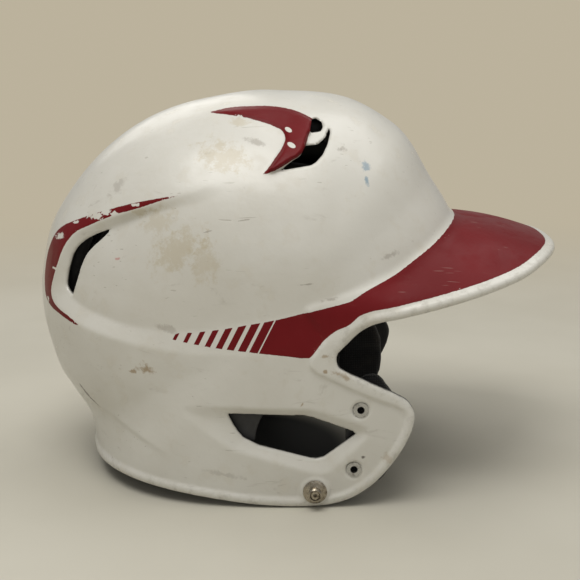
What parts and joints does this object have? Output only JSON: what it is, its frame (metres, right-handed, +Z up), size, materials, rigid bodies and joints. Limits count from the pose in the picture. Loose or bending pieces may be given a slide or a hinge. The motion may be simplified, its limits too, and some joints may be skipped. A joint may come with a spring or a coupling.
{
  "type": "batting helmet",
  "caption": "Hard-shell batting helmet with a bill, two ear flaps, hooded vents, foam liners, comfort pads, sprung ear and jaw pads, guard inserts and chin snaps.",
  "frame": {"origin": "on the floor under the middle of the whole part, halfway between the bill's tip and the back", "axes": "+Z up through the crown, -Y towards the bill's tip, +X towards the wearer's left ear"},
  "size_m": [0.1926, 0.2878, 0.2075],
  "materials": {
    "shell_plastic": "glossy off-white with deep red painted areas",
    "liner_foam": "black moulded bead foam",
    "pad_fabric": "charcoal knitted cover over soft foam",
    "base_plastic": "thin matte backing",
    "core_foam": "open-cell foam",
    "insert_metal": "plated, tapped",
    "snap_metal": "nickel plate, worn",
    "tab_fabric": "hook-and-loop tab"
  },
  "bodies": {
    "helmet": {"shell": "shell_plastic", "brow_liner": "liner_foam", "crown_liner": "liner_foam", "rear_liner": "liner_foam", "side_liner_right": "liner_foam", "side_liner_left": "liner_foam", "nape_pad": "pad_fabric", "brow_pad": "pad_fabric", "crown_pad": "pad_fabric", "rear_pad": "pad_fabric", "side_pad_right": "pad_fabric", "side_pad_left": "pad_fabric", "ear_pad_base_right": "base_plastic", "ear_pad_base_left": "base_plastic", "jaw_pad_base_right": "base_plastic", "jaw_pad_base_left": "base_plastic", "guard_inserts_right": "insert_metal", "guard_inserts_left": "insert_metal", "chin_rivet_right": "snap_metal", "chin_rivet_left": "snap_metal", "chin_washer_right": "snap_metal", "chin_washer_left": "snap_metal", "pad_tabs": "tab_fabric"},
    "ear_pad_right": {"ear_pad_face_right": "pad_fabric", "ear_pad_foam_right": "core_foam"},
    "jaw_pad_right": {"jaw_pad_face_right": "pad_fabric", "jaw_pad_foam_right": "core_foam"},
    "chin_snap_right": {"chin_snap_right": "snap_metal"},
    "ear_pad_left": {"ear_pad_face_left": "pad_fabric", "ear_pad_foam_left": "core_foam"},
    "jaw_pad_left": {"jaw_pad_face_left": "pad_fabric", "jaw_pad_foam_left": "core_foam"},
    "chin_snap_left": {"chin_snap_left": "snap_metal"}
  },
  "joints": [
    {"name": "ear_pad_press_right", "type": "slide", "parent": "helmet", "child": "ear_pad_right", "axis": [-1, 0, 0], "range_m": [0, 0.005], "stiffness_N_per_m": 1500, "deforming": ["ear_pad_foam_right"]},
    {"name": "jaw_pad_press_right", "type": "slide", "parent": "helmet", "child": "jaw_pad_right", "axis": [-1, 0, 0], "range_m": [0, 0.005], "stiffness_N_per_m": 1500, "deforming": ["jaw_pad_foam_right"]},
    {"name": "chin_snap_spin_right", "type": "hinge", "parent": "helmet", "child": "chin_snap_right", "pos_m": [-0.0931, -0.01115, 0.009], "axis": [-1, 0, 0], "continuous": true},
    {"name": "ear_pad_press_left", "type": "slide", "parent": "helmet", "child": "ear_pad_left", "axis": [1, 0, 0], "range_m": [0, 0.005], "stiffness_N_per_m": 1500, "deforming": ["ear_pad_foam_left"]},
    {"name": "jaw_pad_press_left", "type": "slide", "parent": "helmet", "child": "jaw_pad_left", "axis": [1, 0, 0], "range_m": [0, 0.005], "stiffness_N_per_m": 1500, "deforming": ["jaw_pad_foam_left"]},
    {"name": "chin_snap_spin_left", "type": "hinge", "parent": "helmet", "child": "chin_snap_left", "pos_m": [0.0931, -0.01115, 0.009], "axis": [1, 0, 0], "continuous": true}
  ]
}
